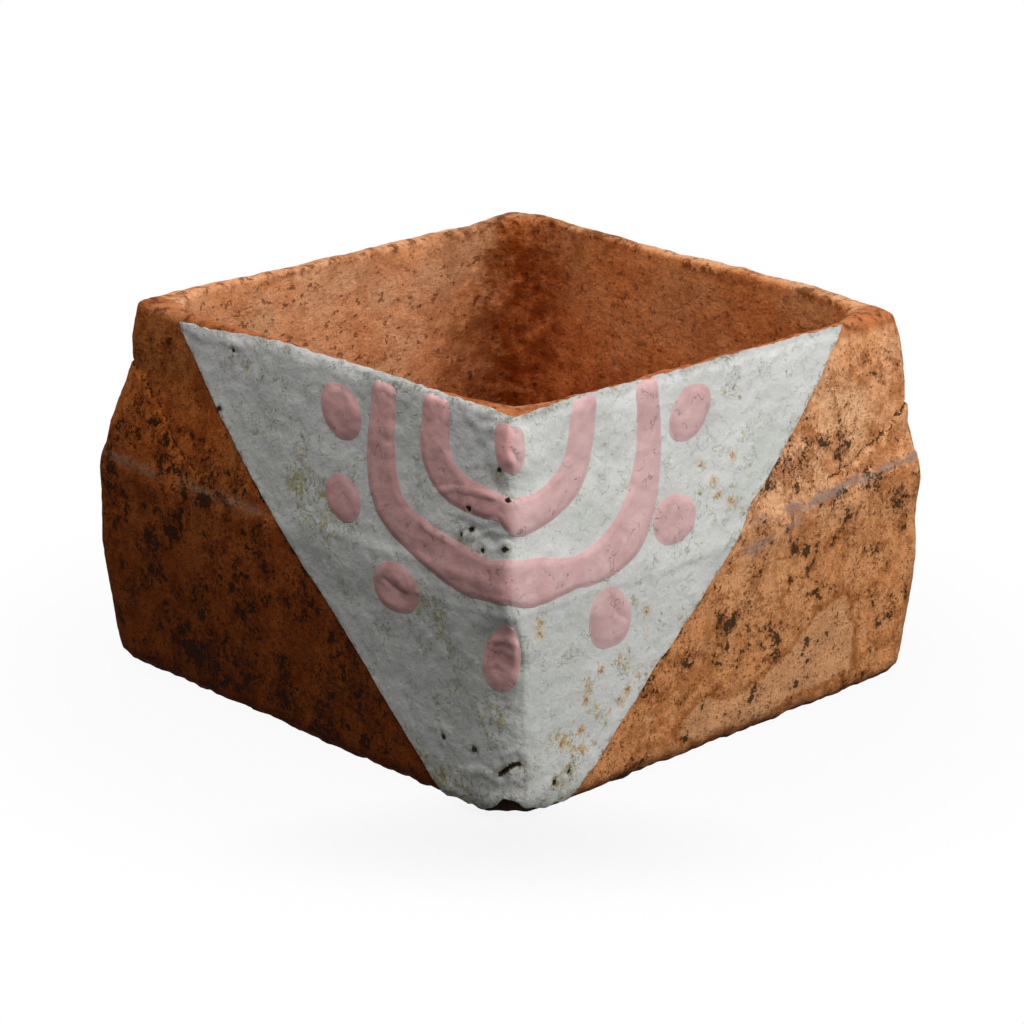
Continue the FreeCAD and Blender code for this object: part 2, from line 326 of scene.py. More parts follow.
def nearest(place, points):    # distance in millimetres to the nearest of some places
    found = None
    for point in points:
        gap = addNode('VectorMath', {0: place, 1: tuple(c * mm for c in point)},
                      operation='DISTANCE').outputs['Value']
        found = gap if found is None else calc('MINIMUM', found, gap)
    return calc('MULTIPLY', found, 1 / mm)


def seenDirectly():    # 1 for what the camera sees, also in a reflection or through glass
    path = addNode('LightPath').outputs
    return larger(larger(path['Is Camera Ray'], path['Is Glossy Ray']), path['Is Transmission Ray'])


def mixShaders(amount, first, second):
    return addNode('MixShader', {0: amount, 1: first.outputs[0], 2: second.outputs[0]}).outputs[0]


studio = dict(
    floorSize=6.0, bounceTone=(0.09, 0.09, 0.09, 1), roomLight=0.06,
    shadowAcross=0.092, shadowToward=0.042, shadowCentre=0.103,    # a painted soft shadow under the front corner
    # the ring is a fainter painted shadow all round the base
    shadowShare=0.155, shadowTone=0.06, ringShare=0.35, ringStart=0.09, ringEnd=0.16,
)


def placeFloor():
    floor = makeWith(bpy.ops.mesh.primitive_plane_add, "studioFloor", size=studio['floorSize'])
    material = bpy.data.materials.new("paleFloor")
    startTree(material)
    place = addNode('TexCoord').outputs['Object']
    turned = addNode('Mapping', {'Vector': place, 'Rotation': (0, 0, math.radians(-45))}).outputs[0]
    x, y, _ = addNode('SeparateXYZ', {0: turned}).outputs
    toward = calc('DIVIDE', calc('ADD', x, studio['shadowCentre']), studio['shadowToward'])
    flat = addNode('CombineXYZ', {0: toward, 1: calc('DIVIDE', y, studio['shadowAcross'])}).outputs[0]
    front, away = (addNode('VectorMath', {0: vector}, operation='LENGTH').outputs['Value']
                   for vector in (flat, place))
    # painted shadow: the floor's glow is dimmed under the front corner and in a ring round the base
    near = larger(fade(front, 1.0, 0.0), times(fade(away, studio['ringEnd'], studio['ringStart']),
                                               studio['ringShare']))
    glow = addNode('Emission', {'Color': (1, 1, 1, 1), 'Strength': scaled(near, -studio['shadowShare'], 1.0)})
    matte = addNode('BsdfDiffuse', {'Color': spread(times(near, studio['shadowTone']))})
    seen = addNode('AddShader', {0: glow.outputs[0], 1: matte.outputs[0]})
    bounce = addNode('BsdfDiffuse', {'Color': studio['bounceTone']})
    addNode('OutputMaterial', {'Surface': mixShaders(seenDirectly(), bounce, seen)})
    floor.data.materials.append(material)


def lightWorld():
    world = bpy.data.worlds.new("studioWorld")
    bpy.context.scene.world = world
    startTree(world)
    room = addNode('Background', {'Color': (1, 1, 1, 1), 'Strength': studio['roomLight']})
    white = addNode('Background', {'Color': (1, 1, 1, 1), 'Strength': 1.0})
    addNode('OutputWorld', {'Surface': mixShaders(seenDirectly(), room, white)})


bpy.context.scene.view_settings.view_transform = 'Standard'
placeCamera()
placeLamps()
placeFloor()
lightWorld()
print("camera, lamps and floor placed")


# the clay pot, sizes in millimetres

clayPot = dict(
    levels=(0, 30, 50, 75, 90),    # foot, low end of the belly, ridge, neck, rim
    halves=(70, 70, 70, 65.5, 63.5),    # half width of the outside at those levels
    insideLevels=(8, 30, 75, 90),
    insideHalves=(62, 63, 60, 59),
    cornerRadius=3, footCornerRadius=13, insideCornerRadius=15, wallAtLeast=3,
    cornerSteps=4, insideSteps=8, edgeSteps=5,
    footEdge=5, floorEdge=6, drainRadius=6, drainSides=48, drillLength=40,
    softFrom=86, softPasses=4, cornerPasses=12,    # the rim and its corners are smoothed from this level up
    voxel=1.16,
    bows=(38, 0.9), lumps=(9, 0.40), grit=(2.4, 0.30),    # size and height of three roughenings
    wallReach=2.2,    # how far behind a front wall's plane a point still lies on it
    skinLift=0.55, grooveDepth=0.45, lipLift=0.28,    # peeling skins, cracks and the ledges over the belly
)


def halfAt(z):    # half width of the outside at a height
    return np.interp(z, clayPot['levels'], clayPot['halves'])


def onWall(side, s, z, lift=0.0):    # place on a front wall, s along the wall from the belly's front corner
    out, belly = float(halfAt(z)) + lift, clayPot['halves'][0]
    return (-out, s - belly, z) if side == 'left' else (s - belly, -out, z)


def onWalls(side, marks, lift=0.0):
    return [onWall(side, *mark, lift) for mark in marks]


def moveRing(piece, z, oldHalf, newHalf):
    scale = newHalf / oldHalf
    workOn(piece, 'VERT', lambda co: abs(co.z - z * mm) < close
           and abs(max(abs(co.x), abs(co.y)) - oldHalf * mm) < close,
           bpy.ops.transform.resize, value=(scale, scale, 1), center_override=(0, 0, z * mm))


def bevelEdges(piece, test, offset, segments):
    workOn(piece, 'EDGE', test, bpy.ops.mesh.bevel, offset_type='OFFSET', offset=offset * mm,
           segments=segments, profile=0.5, affect='EDGES', clamp_overlap=False)


def isUpright(first, second):    # a corner edge between two levels
    return abs(first.z - second.z) > close and all(
        abs(abs(co.x) - abs(co.y)) < close for co in (first, second))


def cageClay():
    levels, halves = clayPot['levels'], clayPot['halves']
    inLevels, inHalves = clayPot['insideLevels'], clayPot['insideHalves']
    height, width = levels[-1] * mm, 2 * halves[0] * mm
    pot = makeWith(bpy.ops.mesh.primitive_cube_add, "clayPot", size=1, location=(0, 0, height / 2))
    bpy.ops.transform.resize(value=(width, width, height))
    bpy.ops.object.transform_apply()
    for level in levels[1:-1]:
        cutAcross(pot, (0, 0, level * mm), (0, 0, 1))
    for level, half in zip(levels[3:], halves[3:]):
        moveRing(pot, level, halves[0], half)
    workOn(pot, 'FACE', lambda centre, normal: abs(centre.z - height) < close,
           bpy.ops.mesh.inset, thickness=(halves[-1] - inHalves[-1]) * mm)
    for upper in range(len(inLevels) - 1, 0, -1):
        drop = (inLevels[upper - 1] - inLevels[upper]) * mm
        pickParts(pot, 'FACE', lambda centre, normal: normal.z > 0.9 and centre.xy.length < close
                  and abs(centre.z - inLevels[upper] * mm) < close)
        bpy.ops.mesh.extrude_region_move(TRANSFORM_OT_translate={'value': (0, 0, drop)})
        scale = inHalves[upper - 1] / inHalves[upper]
        bpy.ops.transform.resize(value=(scale, scale, 1), center_override=(0, 0, 0))
        editMode(False)
    return pot


def isInside(co):    # on the inner walls, away from the outside
    return max(abs(co.x), abs(co.y)) < (float(halfAt(co.z / mm)) - clayPot['wallAtLeast']) * mm


def roundClay(pot):
    floorLevel, half = clayPot['insideLevels'][0], clayPot['halves'][0]
    bevelEdges(pot, lambda a, b: isUpright(a, b) and isInside(a) and isInside(b),
               clayPot['insideCornerRadius'], clayPot['insideSteps'])
    bevelEdges(pot, lambda a, b: isUpright(a, b) and not isInside(a) and not isInside(b),
               clayPot['cornerRadius'], clayPot['cornerSteps'])
    grow = clayPot['footCornerRadius'] / clayPot['cornerRadius']
    cornerFrom = (half - clayPot['cornerRadius']) * mm - close
    for signX in (-1, 1):
        for signY in (-1, 1):
            workOn(pot, 'VERT', lambda co: co.z < close and co.x * signX > cornerFrom
                   and co.y * signY > cornerFrom, bpy.ops.transform.resize, value=(grow, grow, 1),
                   center_override=(signX * half * mm, signY * half * mm, 0))
    bevelEdges(pot, lambda a, b: a.z < close and b.z < close, clayPot['footEdge'], clayPot['edgeSteps'])
    bevelEdges(pot, lambda a, b: abs(a.z - floorLevel * mm) < close
               and abs(b.z - floorLevel * mm) < close, clayPot['floorEdge'], clayPot['edgeSteps'])


def softenRim(pot):
    points = readPoints(pot)
    above = ease(points[:, 2], clayPot['softFrom'], clayPot['softFrom'] + 2)
    corner = ease(np.minimum(np.abs(points[:, 0]), np.abs(points[:, 1])), 50, 58) * ease(points[:, 2], 76, 86)
    for name, weights, passes in (("rim", above, clayPot['softPasses']),
                                  ("corners", corner, clayPot['cornerPasses'])):
        group = pot.vertex_groups.new(name=name)
        for index in np.flatnonzero(weights > 0.01):
            group.add([int(index)], float(weights[index]), 'REPLACE')
        addModifier(pot, 'SMOOTH', factor=0.5, iterations=passes, vertex_group=name)


def drillDrain(pot):
    drill = makeWith(bpy.ops.mesh.primitive_cylinder_add, "drill", vertices=clayPot['drainSides'],
                     radius=clayPot['drainRadius'] * mm, depth=clayPot['drillLength'] * mm)
    addModifier(pot, 'BOOLEAN', object=drill, operation='DIFFERENCE', solver='EXACT')
    bpy.data.objects.remove(drill, do_unlink=True)


# marks on the two front walls, each as (s, z): s along the wall from the front corner

wallMarks = dict(
    crackLeft=((140, 78), (131, 74), (126.5, 72), (123, 69), (119, 67), (117, 64), (114, 61), (111, 59),
               (104, 56)),
    crackRight=((140, 70), (132, 66), (128.5, 64), (124, 62), (119, 60), (115, 58), (110, 57), (100, 55.5)),
    ledgeLeft=((140, 54.5), (125, 53.5), (110, 53), (95, 53), (81, 52.5)),
    ledgeRight=((140, 56), (122, 54.8), (110, 54), (98, 53.4), (84, 52.6)),
    scuffRight=((96, 49.5), (91, 48.5), (83, 47), (77, 46)),
    wornPatch=((101, 25), (111, 25.5), (115, 17), (114, 7), (96, 6.5), (82, 3), (61, 4), (54, 7), (60, 13),
               (75, 12), (90, 16)),
    sootLeft=((135, 46), (108, 48), (111, 43), (101, 57), (99, 53), (89, 55), (117, 31.5), (102, 25), (86, 30),
              (92, 14.5), (85, 10), (71, 9.5), (60, 9), (50, 27.5), (44, 32), (102, 12)),
    sootRight=((94, 65), (90, 62.5), (84, 61.5), (102, 64), (111, 62.5), (122, 76), (130, 81), (117, 70),
               (79, 49), (78, 64), (73, 32), (70, 32), (55, 26), (56, 38), (129, 46), (99, 38), (114, 27),
               (28, 6)),
)


def wallCoordinates(points):    # which front wall each point lies on and how far along it
    half = halfAt(points[:, 2])
    left, right = (points[:, axis] < -half + clayPot['wallReach'] for axis in (0, 1))
    belly = clayPot['halves'][0]
    return left, right, points[:, 1] + belly, points[:, 0] + belly


def heightAbove(s, z, line):    # millimetres above a line drawn on the wall
    ordered = sorted(line)
    slopes = [((a[0] + b[0]) / 2, (b[1] - a[1]) / (b[0] - a[0])) for a, b in zip(ordered, ordered[1:])]
    return (z - follow(ordered, s)) / np.sqrt(1 + follow(slopes, s) ** 2)


def gapToLine(a, b, way):    # distance to a line of straight runs
    closest = np.full(len(a), 1e3)
    for (a0, b0), (a1, b1) in zip(way, way[1:]):
        runA, runB = a1 - a0, b1 - b0
        along = np.clip(((a - a0) * runA + (b - b0) * runB) / (runA ** 2 + runB ** 2), 0, 1)
        closest = np.minimum(closest, np.hypot(a - a0 - along * runA, b - b0 - along * runB))
    return closest


def insideOutline(s, z, outline):    # signed gap to a closed outline, above 0 inside
    closed = outline + outline[:1]
    within = np.zeros(len(s), bool)
    for (s0, z0), (s1, z1) in zip(closed, closed[1:]):
        if z0 != z1:
            within ^= ((z0 > z) != (z1 > z)) & (s < s0 + (z - z0) * (s1 - s0) / (z1 - z0))
    gap = gapToLine(s, z, closed)
    return np.where(within, gap, -gap)


def blotches(s, z, places, radius):
    found = np.zeros(len(s))
    for markS, markZ in places:
        found = np.maximum(found, np.exp(-((s - markS) ** 2 + (z - markZ) ** 2) / radius ** 2))
    return found


wallDrift = dict(    # how far the corners stand out, as (level, millimetres), and how far rim and foot rise
    leftCorner=((0, 0), (30, 0.3), (50, 0.2), (60, 0), (67, -0.7), (74, -1.3), (81, -0.2), (90, 0.1)),
    rightCorner=((0, 0.2), (8, 0.0), (16, -0.1), (25, -0.3), (39, -1.0), (50, -0.6), (56, -0.8), (63, -1.0),
                 (70, -0.1), (77, 0.7), (84, 0.7), (90, 0.2)),
    frontCorner=((0, 0), (12, 0.2), (19, 0.9), (26, 1.9), (36, 2.5), (43, 1.6), (48, 0.3), (52, 0), (90, 0)),
    cornerReach=34, rimLift=1.3, rimLiftLeft=0.2, backHump=0.7, footLift=1.5, footPoint=0.1,
)


def ageClay(pot):    # skins, ledges, chips and an uneven rim, pushed and pulled
    points, normals = readPoints(pot), readNormals(pot)
    drift = wallDrift
    left, right, sLeft, sRight = wallCoordinates(points)
    x, y, z = points.T.copy()
    ragged = waves(points, 7.0) * 0.6 + waves(points, 3.1, 5.0) * 0.4
    push = np.zeros(len(points))
    for onSide, s, crack, ledge in ((left, sLeft, wallMarks['crackLeft'], wallMarks['ledgeLeft']),
                                    (right, sRight, wallMarks['crackRight'], wallMarks['ledgeRight'])):
        above = heightAbove(s, z, crack) + ragged * 0.8
        skin = ease(above, 0.2, -0.9) * ease(above, -22, -9) * ease(s, 100, 116)
        groove = np.exp(-(above / 0.7) ** 2) * ease(s, 103, 112)
        over = heightAbove(s, z, ledge) + ragged * 0.6
        lip = ease(over, 0.2, -0.8) * ease(over, -9, -3) * ease(s, 60, 90)
        marks = clayPot['skinLift'] * skin - clayPot['grooveDepth'] * groove + clayPot['lipLift'] * lip
        push += np.where(onSide, marks, 0)
    outside = ~insideMask(points)
    for cornerX, cornerY, name in ((-70, 70, 'leftCorner'), (70, -70, 'rightCorner')):
        near = np.exp(-((x - cornerX) ** 2 + (y - cornerY) ** 2) / drift['cornerReach'] ** 2)
        amount = near * outside * follow(drift[name], z)
        points[:, 0] += amount * np.sign(cornerX)
        points[:, 1] += amount * np.sign(cornerY)
    turned = follow(drift['frontCorner'], z) * math.sqrt(2)
    points[:, 0] += turned * ease(x, -60, -70) * ease(y, -56, -70) * outside
    front = np.exp(-((x - y) / 9) ** 2) * (x < -55) * (y < -55)
    push += front * (0.45 * waves(points * (0, 0, 1), 6.5, 2.0) - 0.25
                     + drift['footPoint'] * ease(z, 9, 2))
    push += ease(z, 7, 2) * (0.25 * waves(points, 5.0, 9.0) + 0.45 * waves(points, 2.6, 3.0))
    crumbly = (0.30 + 0.70 * ease(z, 74, 52)) * (0.4 + 0.6 * ease(x, 0, 45))
    push += ~outside * crumbly * (0.45 * waves(points, 3.6, 11.0) + 0.35 * waves(points, 8.0, 12.0))
    points += normals * push[:, None]
    upper = ease(z, 82, 89)
    flat = points * (1, 1, 0)
    points[:, 2] += upper * (0.45 * waves(flat, 16, 3.0) + 0.30 * waves(flat, 4, 1.0))
    lift = drift['rimLift'] * ease(x, 45, 60) + drift['rimLiftLeft'] * ease(y, 50, 62) * ease(x, 60, 40)
    lift += drift['backHump'] * np.exp(-(((x - 61) / 9) ** 2 + ((y - 48) / 14) ** 2))
    points[:, 2] += upper * lift * ease(y, -66, -30)
    footLeft = ease(x, -58, -66) * ease(z, 12, 1)
    points[:, 2] += footLeft * drift['footLift'] * (0.2 + 0.8 * ease(y, -60, 60))
    points[:, 2] = np.maximum(points[:, 2], 0)
    writePoints(pot, points)


def insideMask(points):    # nearer the inner walls than the outer ones, and above the floor
    inner = np.interp(points[:, 2], clayPot['insideLevels'], clayPot['insideHalves'])
    middle = 0.55 * inner + 0.45 * halfAt(points[:, 2])
    return (np.abs(points[:, :2]).max(1) < middle) & (points[:, 2] > clayPot['insideLevels'][0] - 2.5)


def markClay(pot):    # what the clay's material reads: where it is sooty, scuffed, worn and cracked, and where shade is painted on it
    points, normals = readPoints(pot), readNormals(pot)
    left, right, sLeft, sRight = wallCoordinates(points)
    x, y, z = points.T
    inner = insideMask(points)
    crack = np.full(len(z), 9.0)
    soot = 0.55 * ease(waves(points, 14, 7.0), 0.15, 0.6)
    scuff = np.zeros(len(z))
    for onSide, s, side in ((left, sLeft, 'Left'), (right, sRight, 'Right')):
        crack = np.where(onSide & (s > 103), heightAbove(s, z, wallMarks['crack' + side]), crack)
        soot = np.where(onSide, np.maximum(soot * 0.6, blotches(s, z, wallMarks['soot' + side], 5.5)), soot)
        over = heightAbove(s, z, wallMarks['ledge' + side])
        scuff = np.where(onSide, ease(np.abs(over + 0.6), 2.2, 0.3) * ease(s, 66, 92), scuff)
    low = heightAbove(sRight, z, wallMarks['scuffRight'])
    scuff = np.where(right, np.maximum(scuff, ease(np.abs(low), 2.0, 0.4) * ease(sRight, 72, 78)
                                       * ease(sRight, 98, 92)), scuff)
    worn = np.where(right, np.clip(insideOutline(sRight, z, wallMarks['wornPatch']), -9, 9), -9)
    # painted shade: darker in the back corner inside the pot and lower down inside it
    deepShade = inner * np.exp(-(((x - 58) / 23) ** 2 + ((y - 58) / 21) ** 2))
    covered = ease(np.abs(x - y) - 0.9 * z, 16, 12) * (x < -20) * (y < -20) * ease(z, 86, 82) * ~inner
    # painted shade for shadeSide: frontRim darkens the front rim's top against the light from above, behind
    # carries the painted shade onto the back walls and darkens the underside, shaded is the left face, which
    # stands in shade
    frontRim = np.where(x < -57, 0.80, 0.70 * (y < -57)) * ease(z, 86.5, 88.5)
    behind = 0.62 * ease(normals[:, 1], 0.1, 0.9) + 0.45 * ease(normals[:, 0], 0.1, 0.9)
    behind = behind * ease(z, 87, 82) * ~inner + 0.5 * ease(-normals[:, 2], 0.3, 0.9) * (z < 3)
    shaded = ease(-normals[:, 0] - 0.55 * np.abs(normals[:, 1]), 0.0, 0.6) * ~inner * ease(z, 91, 88)
    values = dict(crackGap=crack, soot=soot, scuff=scuff, wornGap=worn, covered=covered,
                  shadeSide=np.maximum(frontRim + behind, shaded),
                  inner=inner * ease(z, 91, 84), deepShade=np.maximum(deepShade, 0.7 * inner * ease(z, 70, 40)),
                  backWall=inner * ease(-normals[:, 0], 0.3, 0.8))
    for name, amounts in values.items():
        paintValues(pot, name, amounts)


clayFinish = dict(
    main=colour(246, 174, 119), light=colour(249, 194, 147), ochre=colour(192, 120, 66),
    rusty=colour(160, 92, 44), rust=colour(100, 50, 18), soot=colour(26, 20, 13), ash=colour(96, 90, 94),
    # scuffShade is the scuff's colour in painted shade
    scuff=colour(158, 138, 128), scuffShade=colour(142, 112, 86), pit=colour(130, 64, 26),
    worn=colour(242, 186, 142), crack=colour(54, 30, 14), green=colour(50, 46, 24),
    # painted shade: shadeTint and shadeLow darken the shadeSide surfaces, more so low down, insideShadeTint
    # the inside, backWallShadeTint makes the inside of the back-right wall darker and redder, deepShadeTint
    # the inside's back corner and depths, rimShadeTint darkens the rim's top against the light from above and
    # makes it a little pinker; lowTint only darkens the outside towards the foot
    shadeTint=(0.58, 0.325, 0.140, 1), shadeLow=(0.60, 0.58, 0.54, 1),
    insideShadeTint=(0.84, 0.78, 0.76, 1), backWallShadeTint=(1.17, 0.99, 0.74, 1),
    lowTint=(0.84, 0.79, 0.70, 1), deepShadeTint=(0.36, 0.20, 0.07, 1), rimShadeTint=(0.86, 0.82, 0.84, 1),
)


def makeClay():
    material, shader, place = startMaterial("firedClay")
    tone = clayFinish
    soot, shade, inner = (attributeAt(name) for name in ("soot", "shadeSide", "inner"))
    backWall = attributeAt("backWall")
    outer = turnedOver(inner)
    z = times(addNode('SeparateXYZ', {0: place}).outputs[2], 1 / mm)
    wide = noiseAt(place, 30, 3)
    middle = noiseAt(place, 8, 6, 0.7)
    mottle = noiseAt(place, 3.6, 5, 0.68)
    grain = noiseAt(place, 1.5, 5, 0.75)
    pepper = noiseAt(place, 0.85, 3, 0.6, 0.3)
    streak = noiseAt(stretched(place, 1.0, 0.18), 3.5, 4, 0.65)
    ragged = noiseAt(shaken(place, 1.2, 0.35), 3.0, 8, 0.80)
    wornGap = calc('ADD', attributeAt("wornGap"), scaled(middle, 8.0, -4.0))
    worn = fade(wornGap, -0.5, 0.7)
    field = piled(noiseAt(place, 9, 4, 0.62), (shade, 0.07), (soot, scaled(shade, 0.05, 0.11)),
                  (fade(z, 84, 88.5), -0.20), (worn, -0.05), (fade(z, 62, 76), -0.08))

    base = lay(tone['main'], tone['light'], fade(wide, 0.42, 0.62), fade(z, 10, 85))
    base = lay(base, tone['ochre'], fade(middle, 0.47, 0.62), scaled(inner, -0.30, 0.70))
    pale = noiseAt(place, 4.6, 6, 0.70, 0.3)
    base = lay(base, tone['light'], fade(pale, 0.52, 0.62), 0.36, outer)
    rusty = crowded(noiseAt(place, 5.4, 8, 0.76, 0.4), field, 0.30, 0.51, 0.60)
    base = lay(base, tone['rusty'], rusty, 0.60, outer)
    base = lay(base, tone['ochre'], fade(mottle, 0.50, 0.60), 0.42, outer)
    base = lay(base, tone['rusty'], fade(streak, 0.52, 0.64), 0.30, outer)
    base = lay(base, tone['worn'], worn, 0.64)
    base = lay(base, tone['rusty'], fade(wornGap, -2.6, -0.4), turnedOver(worn), 0.50)
    grainLight, mottleLight = fade(grain, 0.34, 0.62), fade(mottle, 0.64, 0.36)
    base = dim(base, times(scaled(grainLight, 0.14, 0.905), scaled(mottleLight, 0.14, 0.94)))

    base = lay(base, tone['rust'], crowded(pepper, field, 0.22, 0.585, 0.635), scaled(inner, -0.45, 0.70))
    base = lay(base, tone['rust'], crowded(grain, field, 0.28, 0.580, 0.645), 0.50, outer)

    blots = noiseAt(shaken(place, 1.2, 0.40), 3.6, 5, 0.64)
    blots = crowded(blots, scaled(shade, 0.01, field), 0.38, 0.640, 0.662)
    dots = crowded(noiseAt(place, 1.05, 4, 0.65, 0.5), field, 0.30, 0.655, 0.695)
    rooted = fade(field, 0.48, 0.62)
    roots = larger(threads(shaken(place, 2.0, 0.9), 7.5, 0.036, times(rooted, fade(mottle, 0.44, 0.56))),
                   threads(shaken(place, 1.5, 0.6), 4.4, 0.034, times(rooted, fade(middle, 0.47, 0.57))))
    dark = times(larger(blots, larger(dots, roots)), outer)
    base = lay(base, lay(tone['soot'], tone['green'], fade(mottle, 0.50, 0.62)), dark, 0.88)
    ashes = times(fade(soot, 0.55, 0.95), crowded(ragged, field, 0.30, 0.58, 0.64), fade(middle, 0.48, 0.56))
    base = lay(base, tone['ash'], ashes, 0.45, outer)
    footLine = scaled(ragged, 12.0, z)
    base = lay(base, tone['rust'], fade(footLine, 12.5, 7.5), outer, 0.50)
    base = lay(base, tone['soot'], fade(footLine, 8.2, 6.9), outer, 0.85)
    base = lay(base, tone['soot'], attributeAt("covered"), fade(ragged, 0.30, 0.40), 0.94)

    pits = crowded(noiseAt(stretched(place, 0.85, 1.0), 2.0, 5, 0.66), backWall, 0.02, 0.596, 0.628)
    pits = times(pits, inner)
    base = lay(base, tone['pit'], pits, scaled(backWall, -0.20, 0.66))
    # the painted shade inside the pot, broken up by noise
    deepShade = times(attributeAt("deepShade"), fade(middle, 0.24, 0.58))
    gap = calc('ADD', attributeAt("crackGap"), scaled(noiseAt(place, 3.0, 5, 0.65), 5.0, -2.5))
    base = lay(base, tone['rust'], fade(z, 87.5, 89.5), fade(mottle, 0.52, 0.60), 0.60)
    crack = times(fade(calc('ABSOLUTE', gap), 0.36, 0.10), fade(noiseAt(place, 2.0, 4, 0.6), 0.40, 0.56))
    base = lay(base, tone['crack'], crack, 0.85)

    # painted shade: the shade side, the inside, its back wall, corner and depths, and the rim's top are
    # darkened here; low only darkens the outside towards the foot
    low = times(fade(z, 62, 30), outer)
    shadeLow = times(shade, fade(z, 66, 8))
    rim = fade(z, 86.5, 89)
    for mask, name in ((shade, 'shadeTint'), (shadeLow, 'shadeLow'), (inner, 'insideShadeTint'),
                       (backWall, 'backWallShadeTint'), (low, 'lowTint'), (deepShade, 'deepShadeTint'), (rim, 'rimShadeTint')):
        base = tint(base, mask, tone[name])
    scuffGrain = times(fade(noiseAt(stretched(place, 0.45, 1.2), 3.0, 5, 0.7), 0.40, 0.54),
                       fade(middle, 0.40, 0.52), scaled(dark, -0.7, 1.0))
    # the scuff takes a darker, browner copy of its colour as painted shade where shadeSide is high
    base = lay(base, lay(tone['scuff'], tone['scuffShade'], shade), attributeAt("scuff"), scuffGrain, 0.85)
    dents = times(inner, noiseAt(stretched(place, 0.8, 1.0), 4.4, 5, 0.62))
    height = piled(times(mottle, 0.8), (grain, 0.74), (pepper, 0.45), (dents, 1.8), (dark, -0.25),
                   (pits, -0.7), (crack, -0.8))
    return finishMaterial(material, shader, base, 0.95, 0.10, height, 0.8)


def makeClayPot():
    pot = cageClay()
    roundClay(pot)
    drillDrain(pot)
    addModifier(pot, 'REMESH', mode='VOXEL', voxel_size=clayPot['voxel'] * mm)
    softenRim(pot)
    for size, height in (clayPot['bows'], clayPot['lumps'], clayPot['grit']):
        roughen(pot, size, height)
    ageClay(pot)
    markClay(pot)
    focusOn(pot)
    bpy.ops.object.shade_smooth()
    pot.data.materials.clear()
    pot.data.materials.append(makeClay())
    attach(pot, "root")
    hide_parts("clay_pot")
    return pot


pot = makeClayPot()
print("clay pot made,", len(pot.data.polygons), "faces")


# the painted layers are drawn as (q, level): q to the right of the front corner in the upright plane
# across it, level up the wall, and above the rim's level they run on over its top

layOut = dict(tilt=35, tiltFrom=58, tiltTo=87, reach=25)    # the sheets come in level, and steeper by the rim


def pushOnto(sheet, flat, target, sink):    # flat holds (q, level) for every point of the sheet
    q, level = flat[:, 0], flat[:, 1]
    half = halfAt(level)
    aside = math.sqrt(2) * np.abs(q) - half
    start = columns(np.where(q < 0, -half, aside), np.where(q < 0, aside, -half), level)
    tilt = math.radians(layOut['tilt']) * ease(level, layOut['tiltFrom'], layOut['tiltTo'])
    ahead = np.cos(tilt) / math.sqrt(2)
    outward = columns(-ahead, -ahead, np.sin(tilt))
    landed = []
    for point, away in zip(start, outward):
        hit, place, _, _ = target.ray_cast(Vector((point + away * layOut['reach']) * mm), Vector(-away))
        landed.append(place if hit else target.closest_point_on_mesh(Vector(point * mm))[1])
    writePoints(sheet, np.array(landed) / mm)
    writePoints(sheet, readPoints(sheet) - readNormals(sheet) * sink)


def foldsOn(q, level, folds):    # ridges and creases as (height, width, way), the way in (q, level) stations
    push = np.zeros(len(q))
    for height, width, way in folds:
        shape = height * np.exp(-(gapToLine(q, level, way) / width) ** 2)
        push = push + shape * (1 + 0.4 * waves(columns(q, level, 0), 3.0, 7.0))
    return push


paintMarks = dict(
    pinholesLeft=((8.9, 78.5), (5.3, 73), (15.6, 68.8), (17.2, 62.6), (14.7, 64.3), (4.4, 62.5), (10.4, 60.8),
                  (98.8, 71.8), (95.6, 86.1), (19.9, 15.9), (10.5, 15.7)),
    pinholesRight=((3, 27.2), (18, 8.8), (13.5, 7.5)),
    pinholeFront=(-1.0, 72.6),    # on the corner, as (q, z), and so is the chip
    chipFront=((-1.9, 11.4), (-1.2, 12.0), (-0.5, 12.6), (0.2, 13.3), (1.0, 13.7), (1.8, 13.9)),
    rustRight=((61.9, 68.5), (72.2, 68.6), (65.2, 64.4), (70.7, 58.7), (66.4, 60.8), (30.5, 39.6),
               (41.6, 40.3), (8.7, 45.2), (8.7, 42.9), (23.1, 24.1), (27.6, 29.9), (21.7, 17.4), (15.5, 15.6),
               (35.8, 23), (33.9, 21.1)),
    rustCloud=((26, 20), (16, 10), (34, 30)),
    mouldLeft=((3.2, 38.6), (6, 25.1), (24.9, 46.3), (69.4, 62.2), (62, 58.4), (58.2, 55.9)),
)

